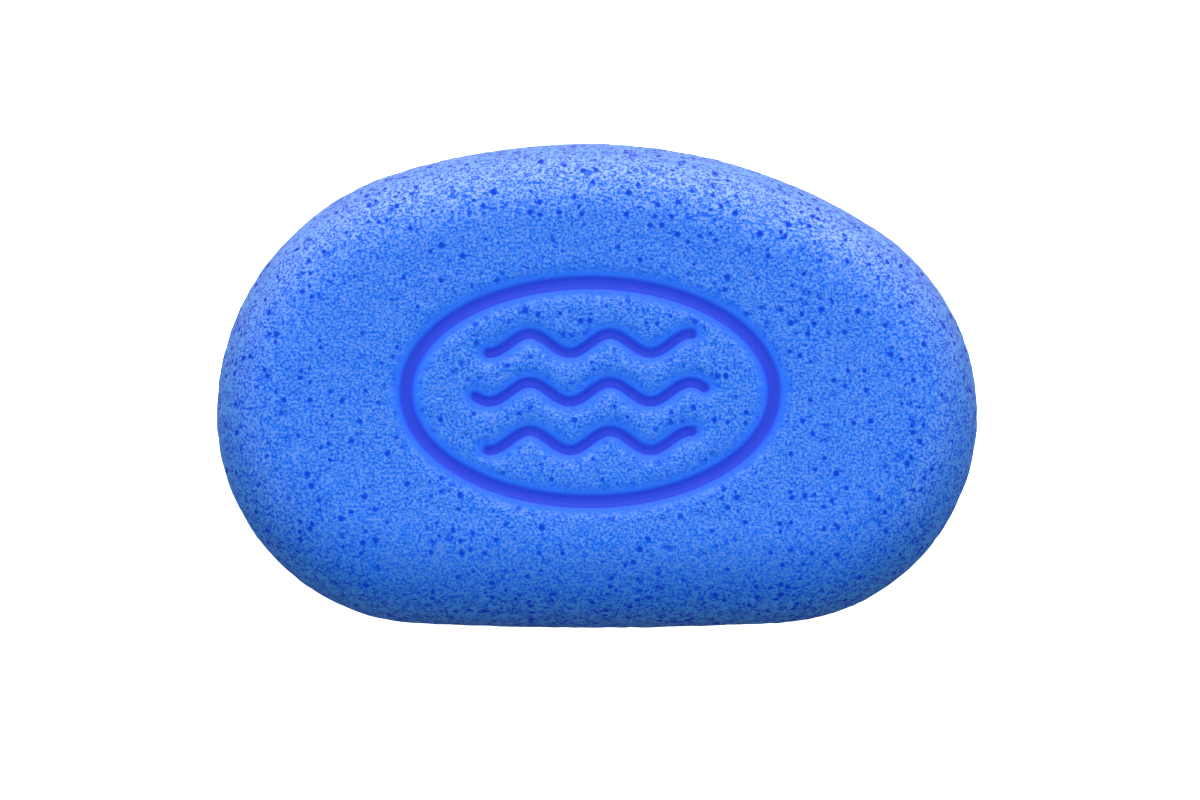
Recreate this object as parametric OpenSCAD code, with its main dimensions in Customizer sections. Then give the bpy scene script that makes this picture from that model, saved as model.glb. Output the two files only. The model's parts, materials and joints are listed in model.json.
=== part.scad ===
// Oval cleaning sponge, one block of open-cell foam with a pressed face.
// Millimetres. The origin is at the middle of the flat underside, +X runs along the
// sponge, +Y points to its arched far side, and the pressed face looks up.

/* [Body] */
// Length from end to end
body_length = 120; // [100:1:150]
// Reach of the arched far side from the line where the sponge is longest
far_reach = 42.8; // [38:0.2:50]
// Reach of the nearly straight near side from the same line
near_reach = 33.8; // [30:0.2:38]
// Thickness from the underside to the pressed face
thickness = 30; // [24:1:40]
// Height at which the sponge is widest
waist_height = 14; // [10:1:18]

/* [Outline] */
// Place of the top of the far arch along the sponge, negative is to the left
arch_shift = -1.4; // [-5:0.2:5]
// Turn of the right end before the far arch takes over, in degrees
right_turn = 56; // [50:1:70]
// Turn of the left end before the far arch takes over, in degrees
left_turn = 72; // [60:1:76]
// Turn of both ends before the near side takes over, in degrees
near_turn = 87; // [76:1:88]

/* [Edges] */
// Width of the rounding between the waist and the pressed face
face_round = 14; // [8:0.5:15]
// Width of the rounding between the waist and the underside
base_round = 12; // [6:0.5:20]
// Fullness of both roundings, where 2 is an ellipse and more is squarer
fullness = 2.2; // [1.8:0.1:3]

/* [Pressed oval] */
// Length of the oval along the middle of its groove
oval_length = 57.2; // [44:0.2:62]
// Width of the oval along the middle of its groove
oval_width = 34.2; // [28:0.2:36]
// Place of the oval's middle along the sponge
oval_x = -1.1; // [-5:0.1:5]
// Place of the oval's middle across the sponge
oval_y = -2.7; // [-4:0.1:6]
// Width of the oval's groove at the face
oval_groove = 3.2; // [2:0.1:4]

/* [Pressed ripples] */
// Number of ripple lines inside the oval
ripple_count = 3; // [1:1:4]
// Length of a ripple line through the oval's middle
ripple_length = 38; // [24:1:42]
// Distance from one ripple line to the next
ripple_pitch = 7.6; // [6:0.2:9]
// Length of one wave of a ripple line
ripple_wave = 12.5; // [8:0.5:16]
// Height of a wave above the middle of its line
ripple_height = 1.5; // [0.5:0.1:2.5]
// Width of a ripple line at the face
ripple_groove = 2.4; // [1.6:0.1:3]

/* [Pressed depth] */
// Depth of every pressed line below the face
press_depth = 1.2; // [1:0.1:4]
// Width of a line's floor as a share of its width at the face
floor_share = 0.35; // [0.2:0.05:0.8]

/* [Hidden] */
foam_blue = [0.22, 0.5, 0.95];
facet = 3.2;
rounding_steps = 7;
oval_steps = 80;
ripple_step = 1.2;
tip_share = 0.4;
proud = 0.5;
skim = 0.2;
waist_y = (near_reach - far_reach) / 2;

// Radii of the end arc and of the side arc of a quarter oval. They meet at a normal of
// turn degrees, and the quarter is across long and deep wide.
function quarter_radii(across, deep, turn) =
  let (c = cos(turn), s = sin(turn), share = (1 - c) * (1 - s) - s * c)
  [(across * (1 - s) - deep * c) / share, (deep * (1 - c) - across * s) / share];

// Normals at which a quarter has its points, about one facet apart along both arcs
function quarter_normals(radii, turn) =
  let (end_count = ceil(radii[0] * turn * PI / 180 / facet),
       side_count = ceil(radii[1] * (90 - turn) * PI / 180 / facet))
  concat([for (i = [0:end_count - 1]) turn * i / end_count],
         [for (i = [0:side_count]) turn + (90 - turn) * i / side_count]);

// Points of one quarter of the outline, moved inwards by inset. side is 1 on the right,
// way is 1 on the far side, and apex is the place of the quarter's widest point. The
// last point is left to the next quarter.
function quarter(side, way, apex, deep, turn, inset) =
  let (across = body_length / 2 - side * apex,
       radii = quarter_radii(across, deep, turn),
       normals = quarter_normals(radii, turn),
       last = len(normals) - 1,
       order = side * way > 0 ? [0:1:last - 1] : [last:-1:1])
  [for (i = order)
    let (n = normals[i],
         centre = n < turn ? [across - radii[0], 0] : [0, deep - radii[1]],
         p = centre + ((n < turn ? radii[0] : radii[1]) - inset) * [cos(n), sin(n)])
    [apex + side * p[0], waist_y + way * p[1]]];

function outline(inset) = concat(
  quarter(1, 1, arch_shift, far_reach, right_turn, inset),
  quarter(-1, 1, arch_shift, far_reach, left_turn, inset),
  quarter(-1, -1, 0, near_reach, near_turn, inset),
  quarter(1, -1, 0, near_reach, near_turn, inset));

// Inset and rise of a rounding at angle t, from 0 at the waist to 90 at its crown
function rounding(wide, tall, t) =
  [wide * (1 - pow(cos(t), 2 / fullness)), tall * pow(sin(t), 2 / fullness)];

// Inset and height of the outline at each level, from the lowest crown to the highest.
// Both crowns stand a skim outside the body.
levels = concat(
  [for (i = [rounding_steps:-1:1])
    let (r = rounding(base_round, waist_height + skim, 90 * i / rounding_steps))
    [r[0], waist_height - r[1]]],
  [for (i = [0:rounding_steps])
    let (r = rounding(face_round, thickness + skim - waist_height, 90 * i / rounding_steps))
    [r[0], waist_height + r[1]]]);

// Skin over rings of points. Each ring has as many points as the next, anticlockwise
// when seen from the last ring. A looped skin joins its last ring to its first, and
// any other is closed by its end rings.
module skin(rings, looped = false) {
  count = len(rings);
  size = len(rings[0]);
  bands = [for (k = [0:count - (looped ? 1 : 2)], i = [0:size - 1])
    let (next = (k + 1) % count, j = (i + 1) % size)
    [k * size + i, next * size + i, next * size + j, k * size + j]];
  ends = looped ? [] : [
    [for (i = [0:size - 1]) i],
    [for (i = [size - 1:-1:0]) (count - 1) * size + i]];
  polyhedron([for (ring = rings) each ring], concat(bands, ends));
}

// Rounded block, skimmed flat at the underside and at the face
module pillow() {
  intersection() {
    skin([for (level = levels) [for (p = outline(level[0])) [p[0], p[1], level[1]]]]);
    translate([-body_length, -body_length, 0])
      cube([2 * body_length, 2 * body_length, thickness]);
  }
}

// Cross-section of a pressed line as [aside, height] pairs, from one edge of its floor
// over the open top to the other. Its slopes go on a little way above the face.
function line_section(width) =
  let (floor_half = width * floor_share / 2,
       open_half = width / 2 + (width / 2 - floor_half) * proud / press_depth)
  [[-floor_half, -press_depth], [-open_half, proud],
   [open_half, proud], [floor_half, -press_depth]];

// A line's cross-section stood across its path at a place, where aside is the unit
// vector to the right of the path, narrowed to a share of its width
function stand(section, place, aside, share = 1) =
  [for (s = section)
    [place[0] + aside[0] * s[0] * share, place[1] + aside[1] * s[0] * share, s[1]]];

module pressed_oval() {
  section = line_section(oval_groove);
  a = oval_length / 2;
  b = oval_width / 2;
  skin(looped = true, rings = [for (i = [0:oval_steps - 1])
    let (t = 360 * i / oval_steps,
         out = [b * cos(t), a * sin(t)])
    stand(section, [a * cos(t), b * sin(t)], out / norm(out))]);
}

// One ripple line along X, a plain sine wave with rounded tips
module ripple(length) {
  section = line_section(ripple_groove);
  steps = ceil(length / ripple_step);
  tip = ripple_groove / 2;
  skin([for (i = [0:steps])
    let (x = length * (i / steps - 0.5),
         phase = 360 * x / ripple_wave,
         slope = ripple_height * cos(phase) * 2 * PI / ripple_wave,
         aside = [slope, -1] / sqrt(1 + slope * slope),
         past = max(0, 1 - (length / 2 - abs(x)) / tip),
         share = max(tip_share, sqrt(1 - past * past)))
    stand(section, [x, ripple_height * sin(phase)], aside, share)]);
}

// Ripple lines one above another, each shortened as the oval narrows there
module pressed_ripples() {
  for (i = [0:ripple_count - 1]) {
    y = ripple_pitch * (i - (ripple_count - 1) / 2);
    translate([0, y, 0]) ripple(ripple_length * sqrt(1 - pow(2 * y / oval_width, 2)));
  }
}

module sponge() {
  color(foam_blue)
  difference() {
    pillow();
    translate([oval_x, oval_y, thickness]) {
      pressed_oval();
      pressed_ripples();
    }
  }
}

sponge();
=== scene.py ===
"""Oval cleaning sponge of open-cell foam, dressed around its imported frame.

Everything is in metres, in the frame of the part: the underside lies on z = 0, +X runs
along the sponge, +Y points to its arched far side and the pressed face looks up.
"""

import json
import logging
import math
from dataclasses import dataclass, field
from enum import Enum, IntEnum

import bpy
import numpy as np
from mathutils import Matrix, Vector

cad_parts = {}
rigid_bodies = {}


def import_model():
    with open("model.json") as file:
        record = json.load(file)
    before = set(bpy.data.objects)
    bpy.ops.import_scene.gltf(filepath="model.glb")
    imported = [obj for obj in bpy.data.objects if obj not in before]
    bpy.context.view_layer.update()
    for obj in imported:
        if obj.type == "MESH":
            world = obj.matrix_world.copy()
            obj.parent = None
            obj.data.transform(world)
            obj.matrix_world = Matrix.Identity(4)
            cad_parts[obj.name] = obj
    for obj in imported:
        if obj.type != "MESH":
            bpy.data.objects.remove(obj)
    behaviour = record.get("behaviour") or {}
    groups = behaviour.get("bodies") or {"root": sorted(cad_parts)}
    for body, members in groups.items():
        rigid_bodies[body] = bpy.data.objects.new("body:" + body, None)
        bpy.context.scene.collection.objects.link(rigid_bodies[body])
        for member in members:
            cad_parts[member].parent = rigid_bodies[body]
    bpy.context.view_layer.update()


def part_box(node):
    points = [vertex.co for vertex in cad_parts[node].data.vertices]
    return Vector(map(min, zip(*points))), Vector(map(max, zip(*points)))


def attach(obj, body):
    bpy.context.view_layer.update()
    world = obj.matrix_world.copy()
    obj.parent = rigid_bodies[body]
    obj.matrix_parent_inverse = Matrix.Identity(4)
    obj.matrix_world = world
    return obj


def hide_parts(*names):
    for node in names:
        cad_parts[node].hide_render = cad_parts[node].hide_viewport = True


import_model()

MM = 0.001
TAU = 2 * math.pi
QUARTER = math.pi / 2
LOG = logging.getLogger("sponge")

Array = np.ndarray
Colour = tuple[float, float, float, float]
Span = tuple[float, float]
Socket = bpy.types.NodeSocket
Feed = Socket | float | tuple[float, ...]
WHITE: Colour = (1.0, 1.0, 1.0, 1.0)


class Layer(Enum):
    """The two flats of the skin."""

    FACE = "face"
    UNDERSIDE = "underside"


class Draw(IntEnum):
    """First channel of the hash for each kind of noise, so that no two share one."""

    CRUMB = 10
    EDGE_CRUMB = 20
    SWELL = 30
    PORE = 40


def smooth_step(value: Array) -> Array:
    """Return value held to 0..1 and eased at both ends, 3 v^2 - 2 v^3."""
    v = np.clip(value, 0.0, 1.0)
    return v * v * (3.0 - 2.0 * v)


def unit(vectors: Array) -> Array:
    """Return the vectors along the last axis, each divided by its length."""
    return vectors / np.linalg.norm(vectors, axis=-1, keepdims=True)


def placed(name: str, data: bpy.types.ID) -> bpy.types.Object:
    """Make an object of its data and put it in the scene.

    Args:
        name: Name of the object.
        data: Its mesh, lamp or camera.

    Returns:
        The object.
    """
    thing = bpy.data.objects.new(name, data)
    bpy.context.scene.collection.objects.link(thing)
    return thing


@dataclass(frozen=True)
class Outline:
    """Plan of the sponge at its waist: eight tangent arcs, two to each quarter.

    In a quarter that is a long and b deep the end arc of radius r turns the normal from
    0 to its turn, and the side arc of radius R turns it on to 90 degrees.
    """

    half_length: float
    far_reach: float
    near_reach: float
    waist_y: float
    arch_shift: float = -1.4 * MM
    right_turn: float = math.radians(56)
    left_turn: float = math.radians(72)
    near_turn: float = math.radians(87)
    samples: int = 400

    def quarters(self) -> dict[str, Array]:
        """Work out the sizes of the four quarters, anticlockwise from the far right.

        Returns:
            One array of four values for each size of a quarter.
        """
        side = np.array([1.0, -1.0, -1.0, 1.0])
        way = np.array([1.0, 1.0, -1.0, -1.0])
        apex = np.array([self.arch_shift, self.arch_shift, 0.0, 0.0])
        turn = np.array([self.right_turn, self.left_turn] + 2 * [self.near_turn])
        deep = np.where(way > 0, self.far_reach, self.near_reach)
        across = self.half_length - side * apex
        c, s = np.cos(turn), np.sin(turn)
        share = (1 - c) * (1 - s) - s * c
        end_r = (across * (1 - s) - deep * c) / share
        side_r = (deep * (1 - c) - across * s) / share
        return dict(side=side, way=way, apex=apex, turn=turn, deep=deep, across=across,
                    end_r=end_r, side_r=side_r)

    def point(self, normal: Array, inset: Array | float) -> Array:
        """Place points of the outline: arc centre + (radius - inset) along the normal.

        Args:
            normal: Direction of the outward normal in plan, 0..2 pi.
            inset: How far inside the outline the point lies.

        Returns:
            Points in plan, with x and y along the last axis.
        """
        q = self.quarters()
        k = np.minimum((normal / QUARTER).astype(int), 3)
        even = k % 2 == 0
        local = np.where(even, normal - k * QUARTER, (k + 1) * QUARTER - normal)
        at_end = local < q["turn"][k]
        radius = np.where(at_end, q["end_r"][k], q["side_r"][k])
        cx = np.where(at_end, q["across"][k] - q["end_r"][k], 0.0)
        cy = np.where(at_end, 0.0, q["deep"][k] - q["side_r"][k])
        x = q["apex"][k] + q["side"][k] * (cx + (radius - inset) * np.cos(local))
        y = self.waist_y + q["way"][k] * (cy + (radius - inset) * np.sin(local))
        return np.stack([x, y], axis=-1)

    def normal_towards(self, phi: Array, centre: Array, ratio: float) -> Array:
        """Find the outline's normal where a stretched ray from centre meets it.

        Args:
            phi: Angle of the ray once y is divided by the ratio.
            centre: Start of the rays in plan.
            ratio: Width over length of the oval that the rays are stretched by.

        Returns:
            Directions of the outward normals, 0..2 pi.
        """
        turn = self.quarters()["turn"]
        step = np.arange(self.samples) / self.samples
        rows = []
        for k in range(4):
            bend = turn[k] if k % 2 == 0 else QUARTER - turn[k]
            rows += [k * QUARTER + bend * step,
                     k * QUARTER + bend + (QUARTER - bend) * step]
        normal = np.concatenate(rows)
        ray = self.point(normal, 0.0) - centre
        seen = np.unwrap(np.arctan2(ray[:, 1] / ratio, ray[:, 0]))
        wide_seen = np.concatenate([seen - TAU, seen, seen + TAU])
        wide_normal = np.concatenate([normal - TAU, normal, normal + TAU])
        return np.interp(phi, wide_seen, wide_normal) % TAU


@dataclass(frozen=True)
class Rounding:
    """Edge section between the waist and a flat: a quarter of a superellipse.

    At angle t the inset is wide (1 - cos t ^ (2/n)) and the rise tall sin t ^ (2/n).
    """

    wide: float
    tall: float
    fullness: float = 2.2
    samples: int = 600

    def table(self) -> tuple[Array, Array, Array, Array, Array]:
        """Tabulate the section from the flat to the waist.

        Returns:
            Length run from the flat, inset, rise, and the outward and the rising part
            of the unit normal.
        """
        t = np.linspace(QUARTER, 0.0, self.samples)
        power = 2.0 / self.fullness
        inset = self.wide * (1.0 - np.maximum(np.cos(t), 0.0) ** power)
        rise = self.tall * np.sin(t) ** power
        steps = np.hypot(np.diff(inset), np.diff(rise))
        run = np.concatenate([[0.0], np.cumsum(steps)])
        d_inset, d_rise = np.gradient(inset, run), np.gradient(rise, run)
        return run, inset, rise, -d_rise, -d_inset

    def length(self) -> float:
        """Return the length of the section from the flat to the waist."""
        return float(self.table()[0][-1])

    def at(self, run: Array) -> tuple[Array, Array, Array, Array]:
        """Read the section at lengths run from the flat.

        Args:
            run: Lengths from the flat, 0 to length().

        Returns:
            Inset, rise, and the outward and the rising part of the unit normal.
        """
        table = self.table()
        inset, rise, out, up = (np.interp(run, table[0], part) for part in table[1:])
        size = np.hypot(out, up)
        return inset, rise, out / size, up / size


@dataclass(frozen=True)
class PressedLines:
    """Lines pressed and fused into the face: an oval groove round three ripples.

    The shares of a line's width give the edge of its floor and of its mouth, counted
    from its middle. The fused foam ends at fused_reach times the mouth and fades over
    fused_fade times the mouth.
    """

    centre: tuple[float, float] = (-1.1 * MM, -2.7 * MM)
    half_length: float = 28.6 * MM
    half_width: float = 17.1 * MM
    oval_groove: float = 3.2 * MM
    ripple_groove: float = 2.4 * MM
    ripple_count: int = 3
    ripple_length: float = 38.0 * MM
    ripple_pitch: float = 7.6 * MM
    ripple_wave: float = 12.5 * MM
    ripple_height: float = 1.5 * MM
    depth: float = 1.2 * MM
    floor_share: float = 0.12
    mouth_share: float = 0.40
    shoulder: float = 1.1 * MM
    shoulder_depth: float = 0.42 * MM
    fused_reach: float = 1.2
    fused_fade: float = 0.7
    samples: int = 160

    def oval(self, phi: Array, offset: Array | float) -> Array:
        """Place points beside the oval: the ellipse plus an offset along its normal.

        Args:
            phi: Parameter of the ellipse.
            offset: Distance outwards from the middle of the groove.

        Returns:
            Points in plan.
        """
        a, b = self.half_length, self.half_width
        c, s = np.cos(phi), np.sin(phi)
        out = unit(np.stack([b * c, a * s], axis=-1))
        base = np.stack([a * c, b * s], axis=-1)
        return np.array(self.centre) + base + out * np.asarray(offset)[..., None]

    def ripple_distance(self, plan: Array) -> Array:
        """Measure how far points lie from the nearest ripple.

        Each ripple is y = height sin(2 pi x / wave), sampled along its length.

        Args:
            plan: Points in plan.

        Returns:
            Distance of each point to the nearest sample.
        """
        nearest = np.full(len(plan), np.inf)
        for k in range(self.ripple_count):
            y = self.ripple_pitch * (k - (self.ripple_count - 1) / 2)
            length = self.ripple_length * math.sqrt(1 - (y / self.half_width) ** 2)
            tip = self.ripple_groove / 2
            x = np.linspace(-length / 2 + tip, length / 2 - tip, self.samples)
            wave = y + self.ripple_height * np.sin(TAU * x / self.ripple_wave)
            line = np.stack([x, wave], axis=-1) + np.array(self.centre)
            gap = np.linalg.norm(plan[:, None, :] - line[None, :, :], axis=-1)
            nearest = np.minimum(nearest, gap.min(axis=1))
        return nearest

    def oval_distance(self, plan: Array) -> Array:
        """Estimate how far points lie outside the oval's line, negative inside.

        With f = |(x / a, y / b)| - 1 the distance is f over the length of its gradient,
        which is held off zero at the middle.

        Args:
            plan: Points in plan.

        Returns:
            Signed distance, exact on the line and close to it.
        """
        p = plan - np.array(self.centre)
        size = np.array([self.half_length, self.half_width])
        reach = np.maximum(np.linalg.norm(p / size, axis=-1), 0.05)
        slope = np.linalg.norm(p / size**2, axis=-1) / reach
        return (reach - 1) / np.maximum(slope, 1.0)

    def press(self, distance: Array, width: float) -> tuple[Array, Array, Array]:
        """Work out how deep and how firmly the foam is pressed beside a line.

        Walls ease from the floor up to the mouth, 3 v^2 - 2 v^3. Outside the mouth a
        soft shoulder falls off as exp(-(d / shoulder)^2).

        Args:
            distance: Distance from the middle of the line.
            width: Width of the line at the face.

        Returns:
            Depth below the face, how fused the foam is and how flattened, 0 to 1.
        """
        floor, mouth = width * self.floor_share, width * self.mouth_share
        d = np.abs(distance)
        wall = smooth_step((mouth - d) / (mouth - floor))
        past = np.maximum(d - mouth, 0.0) / self.shoulder
        soft = np.exp(-past * past)
        depth = self.shoulder_depth * soft + (self.depth - self.shoulder_depth) * wall
        fused = smooth_step((mouth * self.fused_reach - d) / (mouth * self.fused_fade))
        return depth, fused, soft


@dataclass(frozen=True)
class FoamNoise:
    """Repeatable noise in space for pores and crumbs, hashed from whole numbers."""

    seed: int = 7
    finer: float = 0.55
    weaker: float = 0.6

    def chance(self, cell: Array, channel: int) -> Array:
        """Hash cells of a lattice into even random numbers.

        Args:
            cell: Whole coordinates, x y z along the last axis.
            channel: Which of the cell's independent numbers to give.

        Returns:
            Numbers from 0 to 1, one for each cell.
        """
        c = cell.astype(np.int64).astype(np.uint32)
        h = c[..., 0] * np.uint32(73856093)
        h = h ^ (c[..., 1] * np.uint32(19349663))
        h = h ^ (c[..., 2] * np.uint32(83492791))
        h = h ^ np.uint32((self.seed * 2654435761 + channel * 40503 * 65537) % 2**32)
        for shift, factor in ((16, 2246822507), (13, 3266489909), (16, 668265263)):
            h = (h ^ (h >> np.uint32(shift))) * np.uint32(factor)
        h = h ^ (h >> np.uint32(15))
        return h.astype(np.float64) / 2**32

    def smooth(self, place: Array, size: float, channel: int) -> Array:
        """Blend random numbers at lattice corners into smooth noise, -1 to 1.

        Args:
            place: Points in space.
            size: Spacing of the lattice.
            channel: First channel of the hash.

        Returns:
            Noise at each point.
        """
        p = place / size
        low = np.floor(p)
        t = smooth_step(p - low)
        total = np.zeros(len(place))
        for corner in np.ndindex(2, 2, 2):
            weight = np.prod(np.where(np.array(corner) == 1, t, 1 - t), axis=-1)
            total += weight * self.chance(low + np.array(corner), channel)
        return 2 * total - 1

    def crumbs(self, place: Array, size: float, channel: int, layers: int = 3) -> Array:
        """Sum layers of smooth noise, each finer and weaker than the one before."""
        return sum(
            self.weaker**k * self.smooth(place, size * self.finer**k, channel + k)
            for k in range(layers))

    def pores(self, place: Array, pitch: float, radius: Span,
              share: float, channel: int) -> Array:
        """Scoop round pores whose centres are scattered one to a cell.

        A pore of radius r is 1 - (d / r)^2 deep at distance d from its centre.

        Args:
            place: Points in space.
            pitch: Size of a cell.
            radius: Smallest and largest radius of a pore.
            share: Share of the cells that hold a pore.
            channel: First channel of the hash.

        Returns:
            Depth of the deepest pore at each point, 0 to 1.
        """
        p = place / pitch
        low = np.floor(p)
        depth = np.zeros(len(place))
        for step in np.ndindex(3, 3, 3):
            cell = low + np.array(step) - 1
            jitter = np.stack([self.chance(cell, channel + k) for k in range(3)], -1)
            size = self.chance(cell, channel + 3)
            r = (radius[0] + (radius[1] - radius[0]) * size**2) / pitch
            held = self.chance(cell, channel + 4) < share
            d = np.linalg.norm(p - cell - jitter, axis=-1)
            depth = np.maximum(depth, np.where(held, 1 - (d / r) ** 2, 0.0))
        return depth


@dataclass
class Skin:
    """The sponge's smooth skin.

    Attributes:
        place: Its points.
        normal: The unit normal at each point.
        groove: Distance outwards from the oval's groove, nan where it isn't known.
        ids: Ids of the points of the face's patch, as a grid.
    """

    place: Array
    normal: Array
    groove: Array
    ids: Array

    @staticmethod
    def rim(ids: Array) -> Array:
        """Return the border of a grid of ids, anticlockwise from its lower right."""
        sides = ids[:-1, -1], ids[-1, :0:-1], ids[:0:-1, 0], ids[0, :-1]
        return np.concatenate(sides)


@dataclass
class Sponge:
    """The foam block: a closed skin of two square patches and the bands between them.

    Foam whose normal is less upright than level counts as turned, fully so level_fade
    further on. Pores are as deep as face_pore times pore_depth on the flats, and
    edge_pore more at the edges. No crumb stands higher than highest, and crumbs fade
    out over the foot above the floor.
    """

    outline: Outline
    face_edge: Rounding
    base_edge: Rounding
    waist: float
    lines: PressedLines = field(default_factory=PressedLines)
    noise: FoamNoise = field(default_factory=FoamNoise)
    across: int = 160
    deep: int = 108
    groove_rings: int = 20
    face_rings: int = 64
    base_rings: int = 34
    groove_reach: float = 2.6 * MM
    pore_depth: float = 0.3 * MM
    crumb_height: float = 0.045 * MM
    crumb_size: float = 1.5 * MM
    edge_crumb: float = 0.06 * MM
    edge_crumb_size: float = 1.7 * MM
    swell_height: float = 0.05 * MM
    swell_size: float = 14 * MM
    pore_pitch: float = 2.4 * MM
    pore_radius: Span = (0.35 * MM, 0.75 * MM)
    pore_share: float = 0.6
    face_pore: float = 0.8
    edge_pore: float = 0.4
    level: float = 0.97
    level_fade: float = 0.75
    soft_closes: float = 0.85
    highest: float = 0.35 * MM
    foot: float = 0.6 * MM

    def patch_angles(self) -> tuple[Array, Array]:
        """Map a square grid to a disc by rings: the larger coordinate is the radius.

        Returns:
            Radius from 0 to 1 and angle at each corner of the grid.
        """
        u, v = np.meshgrid(np.linspace(-1, 1, self.across + 1),
                           np.linspace(-1, 1, self.deep + 1))
        wide = np.abs(u) >= np.abs(v)
        big = np.where(wide, u, v)
        small = np.where(wide, v, u)
        turn = QUARTER / 2 * small / np.where(big == 0, 1.0, big)
        phi = np.where(wide, turn, QUARTER - turn) + np.where(big < 0, math.pi, 0.0)
        return np.abs(big), phi

    def rounded(self, phi: Array, edge: Rounding, run: Array,
                way: float) -> tuple[Array, Array]:
        """Carry the edge section round the outline.

        Args:
            phi: Angle of each column.
            edge: The section.
            run: Length from the flat, for each ring and column.
            way: 1 above the waist and -1 below it.

        Returns:
            Points and unit normals.
        """
        ratio = self.lines.half_width / self.lines.half_length
        normal = self.outline.normal_towards(phi, np.array(self.lines.centre), ratio)
        inset, rise, out, up = edge.at(run)
        facing = np.broadcast_to(normal, run.shape)
        plan = self.outline.point(facing, inset)
        place = np.concatenate([plan, (self.waist + way * rise)[..., None]], axis=-1)
        aside = np.stack([np.cos(facing), np.sin(facing)], axis=-1) * out[..., None]
        return place, np.concatenate([aside, way * up[..., None]], axis=-1)

    def patch(self, layer: Layer) -> tuple[Array, Array, Array]:
        """Lay the flat patch of the face or of the underside.

        Args:
            layer: Which flat to lay.

        Returns:
            Points, unit normals, and nan for the offset from the oval's groove.
        """
        radius, phi = self.patch_angles()
        centre = np.array(self.lines.centre)
        if layer is Layer.FACE:
            border = self.lines.oval(phi, -self.groove_reach)
            z, up = self.waist + self.face_edge.tall, 1.0
        else:
            zero = np.zeros_like(phi)
            border = self.rounded(phi, self.base_edge, zero, -1.0)[0][..., :2]
            z, up = 0.0, -1.0
        plan = centre + (border - centre) * radius[..., None]
        place = np.concatenate([plan, np.full(phi.shape + (1,), z)], axis=-1)
        normal = np.zeros_like(place)
        normal[..., 2] = up
        groove = np.full(phi.shape, np.nan)
        return place, normal, groove

    def upper_band(self, phi: Array) -> tuple[Array, Array, Array]:
        """Lay rings from the inside of the oval's groove over the edge to the waist.

        Args:
            phi: Angle of each column.

        Returns:
            Points, unit normals, and the offset from the oval's groove.
        """
        reach = self.groove_reach
        offset = np.linspace(-reach, reach, self.groove_rings + 1)[1:, None]
        grid = np.broadcast_to(phi, (self.groove_rings, len(phi)))
        plan = self.lines.oval(grid, np.broadcast_to(offset, grid.shape))
        top = self.waist + self.face_edge.tall
        inner = np.concatenate([plan, np.full(grid.shape + (1,), top)], axis=-1)
        start = inner[-1]
        flat_end = self.rounded(phi, self.face_edge, np.zeros((1, len(phi))), 1.0)[0][0]
        flat = np.linalg.norm(flat_end - start, axis=-1)
        share = np.arange(1, self.face_rings + 1)[:, None] / self.face_rings
        run = share * (flat + self.face_edge.length())
        on_flat = np.minimum(run / flat, 1.0)[..., None]
        level = start + (flat_end - start) * on_flat
        past = np.maximum(run - flat, 0.0)
        curved, facing = self.rounded(phi, self.face_edge, past, 1.0)
        outer = np.where((run > flat)[..., None], curved, level)
        up = np.zeros_like(inner)
        up[..., 2] = 1.0
        away = np.broadcast_to(offset, grid.shape)
        return (np.concatenate([inner, outer]), np.concatenate([up, facing]),
                np.concatenate([away, np.full(run.shape, np.nan)]))

    def lower_band(self, phi: Array) -> tuple[Array, Array, Array]:
        """Lay rings from below the waist to the border of the underside.

        Args:
            phi: Angle of each column.

        Returns:
            Points, unit normals, and nan for the offset from the oval's groove.
        """
        share = 1 - np.arange(1, self.base_rings + 1)[:, None] / self.base_rings
        run = np.broadcast_to(share * self.base_edge.length(),
                              (self.base_rings, len(phi)))
        place, normal = self.rounded(phi, self.base_edge, run, -1.0)
        return place, normal, np.full(run.shape, np.nan)

    def skin(self) -> tuple[Skin, Array]:
        """Join the patches and the bands into one closed skin.

        Returns:
            The skin, and the corner ids of its faces.
        """
        phi_rim = Skin.rim(self.patch_angles()[1])
        size = (self.deep + 1) * (self.across + 1)
        face_ids = np.arange(size).reshape(self.deep + 1, self.across + 1)
        face = self.patch(Layer.FACE)
        bands = [self.upper_band(phi_rim), self.lower_band(phi_rim)]
        band = [np.concatenate(part) for part in zip(*bands, strict=True)]
        rings = len(band[0])
        columns = len(phi_rim)
        band_ids = size + np.arange(rings * columns).reshape(rings, columns)
        under = self.patch(Layer.UNDERSIDE)
        inner = (slice(1, -1), slice(1, -1))
        under_ids = np.full(face_ids.shape, -1)
        under_ids.reshape(-1)[Skin.rim(face_ids)] = band_ids[-1]
        count = (self.deep - 1) * (self.across - 1)
        first = size + rings * columns
        under_ids[inner] = first + np.arange(count).reshape(self.deep - 1, -1)
        parts = [[face[k].reshape(size, -1), band[k].reshape(rings * columns, -1),
                  under[k][inner].reshape(count, -1)] for k in range(3)]
        place, normal, groove = (np.concatenate(part) for part in parts)
        ring_ids = np.vstack([Skin.rim(face_ids), band_ids])
        looped = np.column_stack([ring_ids, ring_ids[:, 0]])
        faces = np.concatenate([self.quads(face_ids), self.quads(looped.T),
                                self.quads(under_ids)[:, ::-1]])
        return Skin(place, normal, groove[:, 0], face_ids), faces

    @staticmethod
    def quads(ids: Array) -> Array:
        """Return the four corners of each cell of a grid of ids, anticlockwise."""
        corners = [ids[:-1, :-1], ids[:-1, 1:], ids[1:, 1:], ids[1:, :-1]]
        return np.stack(corners, axis=-1).reshape(-1, 4)

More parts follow.
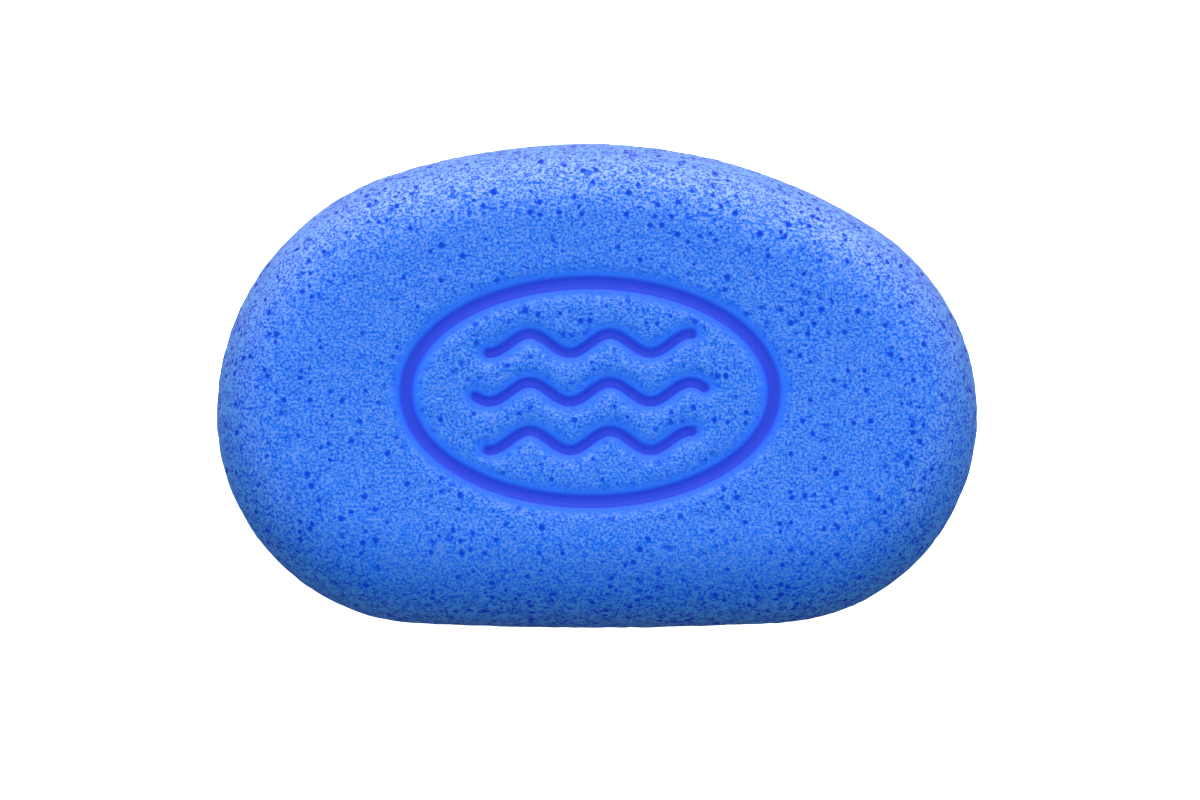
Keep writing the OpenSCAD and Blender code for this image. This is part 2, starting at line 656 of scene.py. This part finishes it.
    def relief(self, skin: Skin) -> tuple[Array, dict[str, Array]]:
        """Press the lines and open the foam: how the skin moves from its smooth form.

        Open foam moves along its normal by crumbs that grow towards the edges, less the
        pores. The face then goes down by the depth of the lines.

        Args:
            skin: The smooth skin.

        Returns:
            The moved points, and a value at each point for each named attribute.
        """
        place, normal, lines = skin.place, skin.normal, self.lines
        away = np.where(np.isnan(skin.groove), lines.oval_distance(place[:, :2]),
                        skin.groove)
        depth, fused, soft = lines.press(away, lines.oval_groove)
        patch = skin.ids.reshape(-1)
        gap = lines.ripple_distance(place[patch, :2])
        ripple = lines.press(gap, lines.ripple_groove)
        for whole, part in zip((depth, fused, soft), ripple, strict=True):
            whole[patch] = np.maximum(whole[patch], part)
        on_face = np.where(place[:, 2] > self.waist, 1.0, 0.0)
        depth, fused, soft = depth * on_face, fused * on_face, soft * on_face
        turned = smooth_step((self.level - np.abs(normal[:, 2])) / self.level_fade)
        open_foam = (1 - fused) * (1 - self.soft_closes * soft)
        crumb = self.noise.crumbs(place, self.crumb_size, Draw.CRUMB)
        coarse = self.noise.crumbs(place, self.edge_crumb_size, Draw.EDGE_CRUMB)
        swell = self.noise.smooth(place, self.swell_size, Draw.SWELL)
        pores = self.noise.pores(place, self.pore_pitch, self.pore_radius,
                                 self.pore_share, Draw.PORE)
        dent = self.pore_depth * pores * (self.face_pore + self.edge_pore * turned)
        height = (self.crumb_height * crumb + self.edge_crumb * turned * coarse
                  + self.swell_height * swell - dent)
        height = np.minimum(height * open_foam, self.highest)
        height *= np.where(on_face > 0, 1.0, smooth_step(place[:, 2] / self.foot))
        moved = place + normal * height[:, None]
        moved[:, 2] = np.maximum(moved[:, 2] - depth, 0.0)
        pores = pores * open_foam
        return moved, dict(fused=fused, soft=soft, turned=turned, pore=pores)

    def build(self) -> bpy.types.Object:
        """Build the foam block as one mesh with its attributes.

        Returns:
            The new object.
        """
        skin, faces = self.skin()
        points, values = self.relief(skin)
        mesh = bpy.data.meshes.new("foam_block")
        mesh.from_pydata(points, [], faces.tolist())
        mesh.polygons.foreach_set("use_smooth", np.ones(len(faces), dtype=bool))
        for name, value in values.items():
            layer = mesh.attributes.new(name, "FLOAT", "POINT")
            layer.data.foreach_set("value", value.astype(np.float32))
        mesh.update()
        return placed("foam_block", mesh)


class NodeDesk:
    """Short calls for laying out a node tree."""

    def __init__(self, tree: bpy.types.NodeTree) -> None:
        """Clear a tree and work on it."""
        self.tree = tree
        tree.nodes.clear()

    def add(self, kind: str, **settings: object) -> bpy.types.Node:
        """Add a node.

        Args:
            kind: Its type, without the ShaderNode prefix.
            settings: Properties to set on it.

        Returns:
            The node.
        """
        prefix = "" if kind.startswith("Node") else "ShaderNode"
        node = self.tree.nodes.new(prefix + kind)
        for name, value in settings.items():
            setattr(node, name, value)
        return node

    def feed(self, node: bpy.types.Node, **inputs: Feed) -> bpy.types.Node:
        """Set a node's inputs, by value or from a socket.

        Args:
            node: The node to feed.
            inputs: Input names with underscores for spaces, or iN for number N.

        Returns:
            The same node.
        """
        for name, value in inputs.items():
            is_number = name[0] == "i" and name[1:].isdigit()
            socket = node.inputs[int(name[1:]) if is_number else name.replace("_", " ")]
            if isinstance(value, Socket):
                self.tree.links.new(value, socket)
            else:
                socket.default_value = value
        return node

    def math(self, operation: str, a: Feed, b: Feed = 0.0,
             clamp: bool = False) -> Socket:
        """Add a Math node and return its output."""
        node = self.add("Math", operation=operation, use_clamp=clamp)
        return self.feed(node, i0=a, i1=b).outputs[0]

    def times(self, a: Feed, b: Feed) -> Socket:
        """Add a product of two values and return its output."""
        return self.math("MULTIPLY", a, b)

    def ramp(self, value: Feed, low: float, high: float, to_low: float = 0.0,
             to_high: float = 1.0) -> Socket:
        """Add an eased Map Range from low..high and return its output."""
        node = self.add("MapRange", interpolation_type="SMOOTHSTEP")
        return self.feed(node, i0=value, i1=low, i2=high, i3=to_low,
                         i4=to_high).outputs[0]

    def between(self, share: Feed, low: Feed, high: Feed) -> Socket:
        """Add a straight Map Range from 0..1 to low..high and return its output."""
        return self.feed(self.add("MapRange"), i0=share, i3=low, i4=high).outputs[0]

    def mix(self, factor: Feed, a: Feed, b: Feed) -> Socket:
        """Add a Mix of two numbers and return its output."""
        node = self.add("Mix", data_type="FLOAT")
        return self.feed(node, i0=factor, i2=a, i3=b).outputs[0]

    def blend(self, factor: Feed, a: Feed, b: Feed) -> Socket:
        """Add a Mix of two colours and return its output."""
        node = self.add("Mix", data_type="RGBA", clamp_factor=True)
        return self.feed(node, i0=factor, i6=a, i7=b).outputs[2]


def start_group(name: str, inputs: dict[str, float],
                output: str) -> tuple[NodeDesk, bpy.types.Node, bpy.types.Node]:
    """Start a node group whose first input is a place in millimetres.

    Args:
        name: Name of the group.
        inputs: Its number inputs after the place, with their usual values.
        output: Name of its number output.

    Returns:
        A desk for its tree, its input node and its output node.
    """
    tree = bpy.data.node_groups.new(name, "ShaderNodeTree")
    face = tree.interface
    face.new_socket("Place", in_out="INPUT", socket_type="NodeSocketVector")
    for title, value in inputs.items():
        socket = face.new_socket(title, in_out="INPUT", socket_type="NodeSocketFloat")
        socket.default_value = value
    face.new_socket(output, in_out="OUTPUT", socket_type="NodeSocketFloat")
    desk = NodeDesk(tree)
    return desk, desk.add("NodeGroupInput"), desk.add("NodeGroupOutput")


@dataclass(frozen=True)
class PoreGroup:
    """Node group of round pores scattered in space, each in its own Voronoi cell.

    Attributes:
        smallest: Radius of the smallest pore as a share of the largest.
        floor: Distance from a pore's middle, as a share of its radius, where it is
            fully deep.
    """

    smallest: float = 0.55
    floor: float = 0.35

    def group(self) -> bpy.types.NodeTree:
        """Build the group.

        Its inputs are the place, the pitch of the cells, the largest radius as a share
        of the pitch and the share of cells left closed. Its output is the depth, from 0
        outside a pore to 1 at its middle.

        Returns:
            The node group.
        """
        desk, start, end = start_group(
            "foam_pores", {"Pitch": 1.6, "Radius": 0.3, "Closed": 0.5}, "Depth")
        cells = desk.feed(desk.add("TexVoronoi"), Vector=start.outputs[0],
                          Scale=desk.math("DIVIDE", 1.0, start.outputs[1]))
        chance = desk.feed(desk.add("SeparateColor"), Color=cells.outputs["Color"])
        held = desk.math("GREATER_THAN", chance.outputs[0], start.outputs[3])
        share = desk.times(chance.outputs[1], 1 - self.smallest)
        share = desk.math("ADD", self.smallest, share)
        radius = desk.times(start.outputs[2], share)
        inside = desk.math("DIVIDE", cells.outputs["Distance"], radius)
        depth = desk.ramp(inside, 1.0, self.floor)
        desk.feed(end, i0=desk.times(depth, held))
        return desk.tree


@dataclass(frozen=True)
class CrumbGroup:
    """Node group of foam crumbs: ragged noise, stretched from the gaps to the tips.

    Attributes:
        detail: Number of finer layers in the noise.
        gap: Noise at which a gap is fully deep.
        top: Noise at which a crumb is fully high.
    """

    detail: float = 4.0
    gap: float = 0.32
    top: float = 0.68

    def group(self) -> bpy.types.NodeTree:
        """Build the group.

        Its inputs are the place, the size of a crumb and how ragged the crumbs are. Its
        output is the height, from 0 in a gap to 1 on a crumb.

        Returns:
            The node group.
        """
        desk, start, end = start_group(
            "foam_crumbs", {"Crumb size": 0.5, "Raggedness": 0.6}, "Height")
        crumbs = desk.feed(desk.add("TexNoise"), Vector=start.outputs[0],
                           Detail=self.detail, Roughness=start.outputs[2],
                           Scale=desk.math("DIVIDE", 1.0, start.outputs[1]))
        desk.feed(end, i0=desk.ramp(crumbs.outputs[0], self.gap, self.top))
        return desk.tree


@dataclass(frozen=True)
class FoamMasks:
    """Values over the block that its colour, gloss and bump are made from.

    Attributes:
        fused: 1 where the foam is melted shut in a pressed line.
        soft: 1 where it is pressed flat in or beside a line.
        turned: 0 on the flats and 1 on the turned edges.
        hole: Depth of the pores, 0 to 1.
        height: Height of the foam, from 0 in a gap to 1 on a crumb, less the pores.
        shown: The height again, with more contrast towards the edges; it paints light
            and shade in the colours there and sets the gloss.
    """

    fused: Socket
    soft: Socket
    turned: Socket
    hole: Socket
    height: Socket
    shown: Socket


@dataclass(frozen=True)
class OpenFoam:
    """Finish of the sponge: matt blue open-cell foam with painted shade and highlights,
    smooth violet where fused.

    Sizes of crumbs and pores are in millimetres, and crumbs are squash times as long
    along X as across it. A span is the part of the shown height over which a colour or
    the gloss sets in. Over the patch span, the share of closed cells goes from the
    first to the second of patch_closed.
    """

    body: Colour = (0.003, 0.19, 0.95, 1.0)
    # Partly real, partly painted: the crumb tops are lighter in the foam's own tone and
    # as a painted highlight.
    crumb: Colour = (0.008, 0.24, 1.0, 1.0)
    # Painted shade: the gap colour darkens the hollows between the crumbs as occlusion
    # would.
    gap: Colour = (0.001, 0.095, 0.84, 1.0)
    # Painted shade: the pore colour darkens the holes as the shade inside them would.
    pore: Colour = (0.001, 0.042, 0.70, 1.0)
    melted: Colour = (0.020, 0.062, 0.72, 1.0)
    pressed: Colour = (0.004, 0.14, 0.93, 1.0)
    # Painted highlight: this colour lights the crumb tips on the turned edges.
    bright: Colour = (0.07, 0.36, 1.0, 1.0)
    body_span: Span = (0.05, 0.42)
    crumb_span: Span = (0.50, 0.9)
    highlight_span: Span = (0.66, 1.1)
    gloss_span: Span = (0.26, 0.92)
    pore_shade_cover: float = 0.8
    pressed_cover: float = 0.8
    fine_crumb: float = 0.46
    fine_ragged: float = 0.7
    coarse_crumb: float = 1.3
    coarse_ragged: float = 0.75
    coarse_share: float = 0.2
    edge_coarse: float = 0.2
    squash: float = 1.15
    pinhole_pitch: float = 0.8
    pinhole_closed: float = 0.5
    pinhole_depth: float = 0.45
    pore_pitch: float = 1.7
    pore_radius: float = 0.42
    dent_depth: float = 0.6
    hole_depth: float = 0.45
    patch_scale: float = 0.11
    patch_span: Span = (0.35, 0.65)
    patch_closed: Span = (0.85, 0.15)
    middle: float = 0.42
    # Contrast of the colours on the flats and, raised, on the edges, where it paints
    # the crumbs' light and shade.
    face_contrast: float = 1.15
    painted_edge_contrast: float = 7.0
    face_bump: float = 0.12 * MM
    edge_bump: float = 0.3 * MM
    soft_bump: float = 0.7
    roughness: float = 0.5
    fused_roughness: float = 0.42
    specular: float = 0.08
    sheen: float = 0.02
    sheen_roughness: float = 0.5
    coat_roughness: float = 0.48
    coat_ior: float = 2.8
    gap_gloss: float = 0.04
    edge_tips: float = 0.8
    edge_gloss: float = 0.40
    evenness: float = 0.85
    soft_gloss: float = 0.17
    fused_gloss: float = 0.10

    def masks(self, desk: NodeDesk) -> FoamMasks:
        """Lay out the crumbs and pores on Object coordinates, and read the attributes.

        Fine and coarse crumbs are mixed, and the deepest of the pinholes, the pores and
        the dents of the mesh is taken off them. The pores gather in patches. The shown
        height is middle + contrast (height - middle).

        Args:
            desk: Desk of the material's tree.

        Returns:
            The masks.
        """
        crumbs, pits = CrumbGroup().group(), PoreGroup().group()
        place = desk.add("TexCoord").outputs["Object"]
        wide = 1 / MM
        tall = wide * self.squash
        squashed, even = (
            desk.feed(desk.add("Mapping"), Vector=place, Scale=scale).outputs[0]
            for scale in ((wide, tall, tall), (wide, wide, wide)))
        fused, soft, turned, dent = (
            desk.add("Attribute", attribute_name=name).outputs["Fac"]
            for name in ("fused", "soft", "turned", "pore"))
        fine = desk.feed(desk.add("Group", node_tree=crumbs), Place=squashed,
                         Crumb_size=self.fine_crumb, Raggedness=self.fine_ragged)
        coarse = desk.feed(desk.add("Group", node_tree=crumbs), Place=squashed,
                           Crumb_size=self.coarse_crumb, Raggedness=self.coarse_ragged)
        share = desk.times(turned, self.edge_coarse)
        share = desk.math("ADD", self.coarse_share, share)
        mixed = desk.mix(share, fine.outputs[0], coarse.outputs[0])
        pinholes = desk.feed(desk.add("Group", node_tree=pits), Place=even,
                             Pitch=self.pinhole_pitch, Radius=self.pore_radius,
                             Closed=self.pinhole_closed)
        patches = desk.feed(desk.add("TexNoise"), Vector=even, Scale=self.patch_scale,
                            Detail=1.0)
        low, high = self.patch_span
        between, within = self.patch_closed
        closed = desk.feed(desk.add("MapRange"), i0=patches.outputs[0], i1=low, i2=high,
                           i3=between, i4=within)
        pores = desk.feed(desk.add("Group", node_tree=pits), Place=even,
                          Pitch=self.pore_pitch, Radius=self.pore_radius,
                          Closed=closed.outputs[0])
        shallow = desk.times(pinholes.outputs[0], self.pinhole_depth)
        hole = desk.math("MAXIMUM", shallow, pores.outputs[0])
        hole = desk.math("MAXIMUM", hole, desk.times(dent, self.dent_depth))
        height = desk.math("SUBTRACT", mixed, desk.times(hole, self.hole_depth))
        # Contrast rises towards the edges, painting the crumbs' light and shade in the
        # colours.
        contrast = desk.between(turned, self.face_contrast, self.painted_edge_contrast)
        around = desk.math("SUBTRACT", height, self.middle)
        shown = desk.math("ADD", self.middle, desk.times(around, contrast))
        return FoamMasks(fused, soft, turned, hole, height, shown)

    def colour(self, desk: NodeDesk, masks: FoamMasks) -> Socket:
        """Lay colours: gaps and pores in painted shade, body, crumbs, tips in painted
        light, lines.

        Args:
            desk: Desk of the material's tree.
            masks: The foam's masks.

        Returns:
            The base colour.
        """
        # Gaps take painted shade, darker still towards the edges, where they blend to
        # the pore colour.
        colour = desk.blend(masks.turned, self.gap, self.pore)
        # Body and crumb colours over the gaps; the lighter crumb tops are partly a
        # painted highlight.
        for span, laid in ((self.body_span, self.body), (self.crumb_span, self.crumb)):
            colour = desk.blend(desk.ramp(masks.shown, *span), colour, laid)
        # The crumb tips on the turned edges get a painted highlight.
        tips = desk.times(desk.ramp(masks.shown, *self.highlight_span), masks.turned)
        colour = desk.blend(tips, colour, self.bright)
        # Pores are painted in shade; pressed foam takes its own colour.
        for mask, cover, laid in ((masks.hole, self.pore_shade_cover, self.pore),
                                  (masks.soft, self.pressed_cover, self.pressed)):
            colour = desk.blend(desk.times(mask, cover), colour, laid)
        return desk.blend(masks.fused, colour, self.melted)

    def bump(self, desk: NodeDesk, masks: FoamMasks) -> Socket:
        """Raise the height as a bump, deeper at the edges and gone where foam is fused.

        Args:
            desk: Desk of the material's tree.
            masks: The foam's masks.

        Returns:
            The normal.
        """
        rest = desk.math("SUBTRACT", 1.0, desk.times(masks.soft, self.soft_bump))
        open_foam = desk.times(rest, desk.ramp(masks.fused, 1.0, 0.0))
        lift = desk.times(masks.height, open_foam)
        reach = desk.between(masks.turned, self.face_bump, self.edge_bump)
        bump = desk.feed(desk.add("Bump"), Height=lift, Distance=reach, Strength=1.0)
        return bump.outputs[0]

    def gloss(self, desk: NodeDesk, masks: FoamMasks) -> Socket:
        """Weigh the coat that whitens the foam where it faces the bright side.

        It lies on the tips of the crumbs, more evenly towards the edges, and thinly on
        pressed and fused foam. Pores have none.

        Args:
            desk: Desk of the material's tree.
            masks: The foam's masks.

        Returns:
            The coat's weight.
        """
        tips = desk.times(desk.ramp(masks.shown, *self.gloss_span, self.gap_gloss, 1.0),
                          desk.ramp(masks.turned, 0.0, 1.0, 1.0, self.edge_tips))
        evened = desk.times(masks.turned, self.evenness)
        tips = desk.times(tips, desk.math("SUBTRACT", 1.0, evened))
        weight = desk.math("ADD", tips, desk.times(evened, self.edge_gloss))
        solid = desk.math("SUBTRACT", 1.0, masks.hole, clamp=True)
        weight = desk.times(weight, solid)
        weight = desk.mix(masks.soft, weight, self.soft_gloss)
        return desk.mix(masks.fused, weight, self.fused_gloss)

    def material(self) -> bpy.types.Material:
        """Build the material.

        Returns:
            The material, on Object coordinates and the block's own attributes.
        """
        finish = bpy.data.materials.new("open_foam")
        finish.use_nodes = True
        desk = NodeDesk(finish.node_tree)
        masks = self.masks(desk)
        shader = desk.feed(
            desk.add("BsdfPrincipled"), Base_Color=self.colour(desk, masks),
            Roughness=desk.between(masks.fused, self.roughness, self.fused_roughness),
            Normal=self.bump(desk, masks), Coat_Weight=self.gloss(desk, masks),
            Coat_Roughness=self.coat_roughness, Coat_IOR=self.coat_ior,
            Specular_IOR_Level=self.specular, Sheen_Weight=self.sheen,
            Sheen_Roughness=self.sheen_roughness)
        desk.feed(desk.add("OutputMaterial"), Surface=shader.outputs[0])
        return finish


@dataclass(frozen=True)
class Studio:
    """White floor, soft light from all round and a camera above the near side.

    A lamp's level is how bright it makes a white card that faces it, and a level of the
    sky or the ground is how bright that is itself, where 1 is white. A span is the part
    of a direction's x, y or z over which such a level sets in.
    """

    view_angle: float = math.radians(84)
    distance: float = 0.9
    lens: float = 171.0
    sensor: float = 36.0
    aim: tuple[float, float, float] = (0.45 * MM, -2.4 * MM, 15 * MM)
    floor_size: float = 3.0
    floor_gap: float = 0.02 * MM
    lamp_distance: float = 1.2
    key_height: float = math.radians(62)
    key_size: float = 0.38
    key_level: float = 0.05
    fill_height: float = math.radians(50)
    fill_size: float = 0.8
    fill_level: float = 0.11
    side_bearing: float = math.radians(105)
    side_height: float = math.radians(32)
    side_level: float = 0.46
    near_sky: float = 0.05
    sky: float = 0.42
    sky_span: Span = (-0.8, -0.15)
    far_glow: float = 2.6
    far_span: Span = (0.4, 1.0)
    side_glow: float = 0.15
    side_span: Span = (0.5, 1.0)
    overhead: float = 0.72
    overhead_span: Span = (0.75, 0.98)
    near_ground: float = 0.05
    far_ground: float = 1.6
    ground_span: Span = (-0.1, 0.9)
    horizon_span: Span = (-0.06, 0.02)

    def floor(self) -> None:
        """Lay the floor as one square just below the sponge.

        From above the camera sees it as three layers of white, so that only a shadow
        darkens it. It is clear from below and to all light.
        """
        half, z = self.floor_size / 2, -self.floor_gap
        corners = [(-half, -half, z), (half, -half, z), (half, half, z),
                   (-half, half, z)]
        mesh = bpy.data.meshes.new("floor")
        mesh.from_pydata(corners, [], [(0, 1, 2, 3)])
        floor = placed("floor", mesh)
        finish = bpy.data.materials.new("white_floor")
        finish.use_nodes = True
        desk = NodeDesk(finish.node_tree)
        matt = desk.feed(desk.add("BsdfDiffuse"), Color=WHITE).outputs[0]
        twice = desk.feed(desk.add("AddShader"), i0=matt, i1=matt).outputs[0]
        thrice = desk.feed(desk.add("AddShader"), i0=twice, i1=matt).outputs[0]
        behind = desk.add("NewGeometry").outputs["Backfacing"]
        camera_ray = desk.add("LightPath").outputs["Is Camera Ray"]
        seen = desk.times(desk.math("SUBTRACT", 1.0, behind), camera_ray)
        choice = desk.feed(desk.add("MixShader"), i0=seen, i2=thrice,
                           i1=desk.add("BsdfTransparent").outputs[0])
        desk.feed(desk.add("OutputMaterial"), Surface=choice.outputs[0])
        mesh.materials.append(finish)

    def lamp(self, name: str, bearing: float, height: float, size: float,
             level: float, mirrored: bool = False) -> None:
        """Hang a square soft lamp that faces the sponge.

        Args:
            name: Name of the lamp.
            bearing: Where it hangs seen from above, turned clockwise from the far side.
            height: Its height above the floor as an angle.
            size: Length of its side.
            level: How bright it makes a white card, where 1 is white.
            mirrored: Whether glossy faces mirror it.
        """
        place = Vector((math.sin(bearing) * math.cos(height),
                        math.cos(bearing) * math.cos(height),
                        math.sin(height))) * self.lamp_distance
        data = bpy.data.lights.new(name, "AREA")
        data.size = size
        data.energy = level * (math.pi * self.lamp_distance) ** 2
        lamp = placed(name, data)
        lamp.location = place
        lamp.visible_glossy = mirrored
        lamp.rotation_euler = (-place).to_track_quat("-Z", "Y").to_euler()

    def light(self) -> None:
        """Hang a key lamp on the far side and a fill lamp on each other side."""
        self.lamp("key", 0.0, self.key_height, self.key_size, self.key_level, True)
        near = self.fill_height, self.fill_size, self.fill_level
        side = self.side_height, self.fill_size, self.side_level
        self.lamp("near_fill", math.pi, *near)
        self.lamp("left_fill", -self.side_bearing, *side)
        self.lamp("right_fill", self.side_bearing, *side)

    def room(self) -> None:
        """Light the room all round, by direction alone.

        Above the horizon the level is (sky + far glow + side glow) times the dimming
        overhead, and below it the level of the ground. Each eases from one value to
        another over its span. The camera sees plain white.
        """
        world = bpy.data.worlds.new("room")
        bpy.context.scene.world = world
        world.use_nodes = True
        desk = NodeDesk(world.node_tree)
        towards = desk.add("TexCoord").outputs["Generated"]
        part = desk.feed(desk.add("SeparateXYZ"), Vector=towards).outputs
        sky = desk.ramp(part["Y"], *self.sky_span, self.near_sky, self.sky)
        far = desk.ramp(part["Y"], *self.far_span, 0.0, self.far_glow)
        aside = desk.ramp(desk.math("ABSOLUTE", part["X"]), *self.side_span, 0.0,
                          self.side_glow)
        dimmed = desk.ramp(part["Z"], *self.overhead_span, 1.0, self.overhead)
        lit = desk.math("ADD", desk.math("ADD", sky, far), aside)
        above = desk.times(lit, dimmed)
        below = desk.ramp(part["Y"], *self.ground_span, self.near_ground,
                          self.far_ground)
        level = desk.mix(desk.ramp(part["Z"], *self.horizon_span), below, above)
        light = desk.feed(desk.add("Background"), Color=WHITE, Strength=level)
        seen = desk.feed(desk.add("Background"), Color=WHITE, Strength=1.0)
        both = desk.feed(desk.add("MixShader"), i1=light.outputs[0], i2=seen.outputs[0],
                         i0=desk.add("LightPath").outputs["Is Camera Ray"])
        desk.feed(desk.add("OutputWorld"), Surface=both.outputs[0])

    def camera(self) -> None:
        """Stand the camera on the near side, looking steeply down at the face."""
        data = bpy.data.cameras.new("camera")
        data.lens = self.lens
        data.sensor_width = self.sensor
        camera = placed("camera", data)
        aim = Vector(self.aim)
        back = Vector((0.0, -math.cos(self.view_angle), math.sin(self.view_angle)))
        camera.location = aim + back * self.distance
        camera.rotation_euler = back.to_track_quat("Z", "Y").to_euler()
        bpy.context.scene.camera = camera


def make_sponge() -> Sponge:
    """Take the sizes of the foam block from the frame.

    Returns:
        The sponge, ready to build.
    """
    low, high = (Vector(corner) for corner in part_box("sponge"))
    waist = 14.0 * MM
    waist_y = -4.5 * MM
    outline = Outline(half_length=(high.x - low.x) / 2, far_reach=high.y - waist_y,
                      near_reach=waist_y - low.y, waist_y=waist_y)
    return Sponge(outline=outline, waist=waist,
                  face_edge=Rounding(wide=14.0 * MM, tall=high.z - waist),
                  base_edge=Rounding(wide=12.0 * MM, tall=waist - low.z))


def main() -> None:
    """Build the sponge and its studio in order, and log the block's points and faces.
    """
    logging.basicConfig(level=logging.INFO, format="%(name)s: %(message)s")
    studio = Studio()
    studio.camera()
    studio.floor()
    studio.light()
    studio.room()
    block = make_sponge().build()
    block.data.materials.append(OpenFoam().material())
    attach(block, "root")
    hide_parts("sponge")
    LOG.info("foam_block: %d points, %d faces", len(block.data.vertices),
             len(block.data.polygons))
    bpy.context.scene.view_settings.view_transform = "Standard"


if __name__ == "__main__":
    main()
